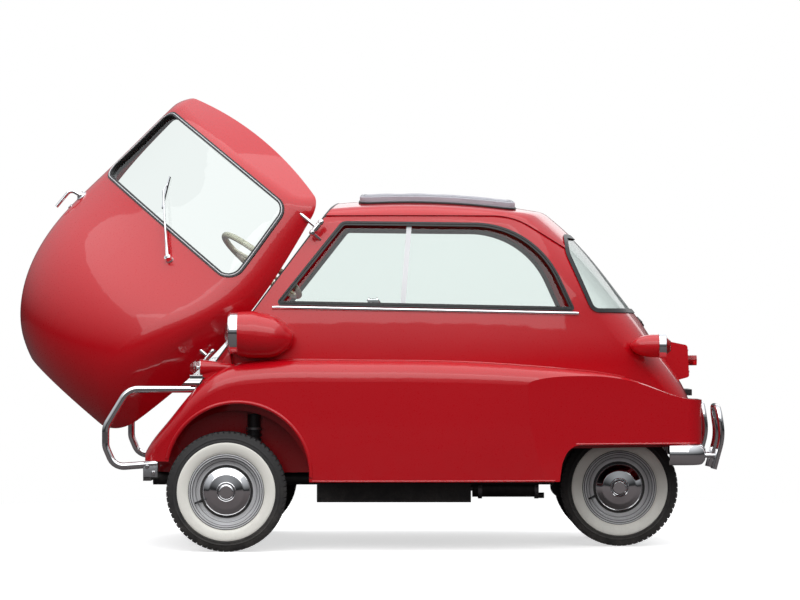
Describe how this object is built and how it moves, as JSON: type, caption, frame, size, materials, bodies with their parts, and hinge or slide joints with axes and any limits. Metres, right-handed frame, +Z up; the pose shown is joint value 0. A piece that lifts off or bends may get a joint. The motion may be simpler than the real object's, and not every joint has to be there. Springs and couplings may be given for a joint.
{
  "type": "bubble car",
  "caption": "Small egg-shaped car on wheels whose whole front is one door that swings open with its windscreen and steering wheel; wheels roll and steer.",
  "frame": {"origin": "on the floor, on the centreline, straight below the front axle", "axes": "+X towards the rear of the car, +Y towards the car's right side, +Z up"},
  "size_m": [2.7413, 1.4116, 1.7601],
  "materials": {
    "red_paint": "gloss",
    "black_rubber": "satin",
    "clear_glass": "clear",
    "chrome": "polished",
    "tyre_rubber": "matt, with a white band on the outer wall",
    "wheel_paint": "silver paint",
    "grey_fabric": "woven roof cloth",
    "seat_fabric": "woven seat cloth",
    "black_paint": "satin",
    "clear_lens": "clear",
    "red_lens": "clear red",
    "cream_plastic": "gloss",
    "black_plastic": "gloss",
    "engine_metal": "cast"
  },
  "bodies": {
    "car_body": {"belt_trims": "chrome", "body_shell": "red_paint", "chassis_frame": "black_paint", "engine_block": "engine_metal", "fabric_roof": "grey_fabric", "floor_pan": "black_paint", "front_beam": "black_paint", "front_brackets": "black_paint", "front_hoops": "chrome", "front_lenses": "clear_lens", "fuel_cap": "black_plastic", "headlamp_pods": "red_paint", "hinge_posts": "chrome", "lamp_rings": "chrome", "leaf_springs": "black_paint", "plate_bracket": "black_paint", "rear_bars": "chrome", "rear_carrier": "black_paint", "rear_hoops": "chrome", "rear_shelf": "black_paint", "rear_window": "clear_glass", "roof_panel": "red_paint", "seat_back": "seat_fabric", "seat_cushion": "seat_fabric", "seat_frame": "black_paint", "side_windows": "clear_glass", "silencer": "black_paint", "small_lamp_pods": "red_paint", "tail_lenses": "red_lens", "wheel_housings": "red_paint", "window_dividers": "wheel_paint", "window_rubbers": "black_rubber", "wing_left": "red_paint", "wing_right": "red_paint"},
    "door": {"door_shell": "red_paint", "windscreen_rubber": "black_rubber", "windscreen": "clear_glass", "door_hinges": "chrome", "door_handle": "chrome", "wiper": "chrome", "mirror": "wheel_paint", "dash_shelf": "black_paint", "steering_column": "black_paint"},
    "steering_wheel": {"steering_wheel": "cream_plastic"},
    "knuckle_left": {"knuckle_left": "black_paint"},
    "knuckle_right": {"knuckle_right": "black_paint"},
    "track_rod": {"track_rod": "black_paint"},
    "front_wheel_left": {"front_tyre_left": "tyre_rubber", "front_rim_left": "wheel_paint", "front_hubcap_left": "chrome"},
    "front_wheel_right": {"front_tyre_right": "tyre_rubber", "front_rim_right": "wheel_paint", "front_hubcap_right": "chrome"},
    "rear_wheels": {"rear_tyres": "tyre_rubber", "rear_rims": "wheel_paint", "rear_hubcaps": "chrome"}
  },
  "joints": [
    {"name": "door_swing", "type": "hinge", "parent": "car_body", "child": "door", "pos_m": [0.3366, -0.535, 1.2243], "axis": [0.6428, 0, 0.766], "range_deg": [-48, 0]},
    {"name": "steering_wheel_turn", "type": "hinge", "parent": "door", "child": "steering_wheel", "pos_m": [0.11417, -0.19218, 1.0861], "axis": [0.6155, 0.1737, 0.7688], "range_deg": [-336, 336]},
    {"name": "left_steer", "type": "hinge", "parent": "car_body", "child": "knuckle_left", "pos_m": [0, -0.492, 0.227], "axis": [0, 0, 1], "range_deg": [-28, 28]},
    {"name": "right_steer", "type": "hinge", "parent": "car_body", "child": "knuckle_right", "pos_m": [0, 0.492, 0.227], "axis": [0, 0, 1], "range_deg": [-28, 28]},
    {"name": "track_rod_pivot", "type": "hinge", "parent": "knuckle_left", "child": "track_rod", "pos_m": [0.12, -0.492, 0.187], "axis": [0, 0, 1], "range_deg": [-28, 28]},
    {"name": "front_left_spin", "type": "hinge", "parent": "knuckle_left", "child": "front_wheel_left", "pos_m": [0, -0.6, 0.227], "axis": [0, 1, 0], "continuous": true},
    {"name": "front_right_spin", "type": "hinge", "parent": "knuckle_right", "child": "front_wheel_right", "pos_m": [0, 0.6, 0.227], "axis": [0, 1, 0], "continuous": true},
    {"name": "rear_spin", "type": "hinge", "parent": "car_body", "child": "rear_wheels", "pos_m": [1.5, 0, 0.227], "axis": [0, 1, 0], "continuous": true}
  ],
  "couplings": [
    {"joint": "right_steer", "follows": "left_steer", "ratio": 1},
    {"joint": "track_rod_pivot", "follows": "left_steer", "ratio": -1},
    {"joint": "steering_wheel_turn", "follows": "left_steer", "ratio": 12}
  ]
}
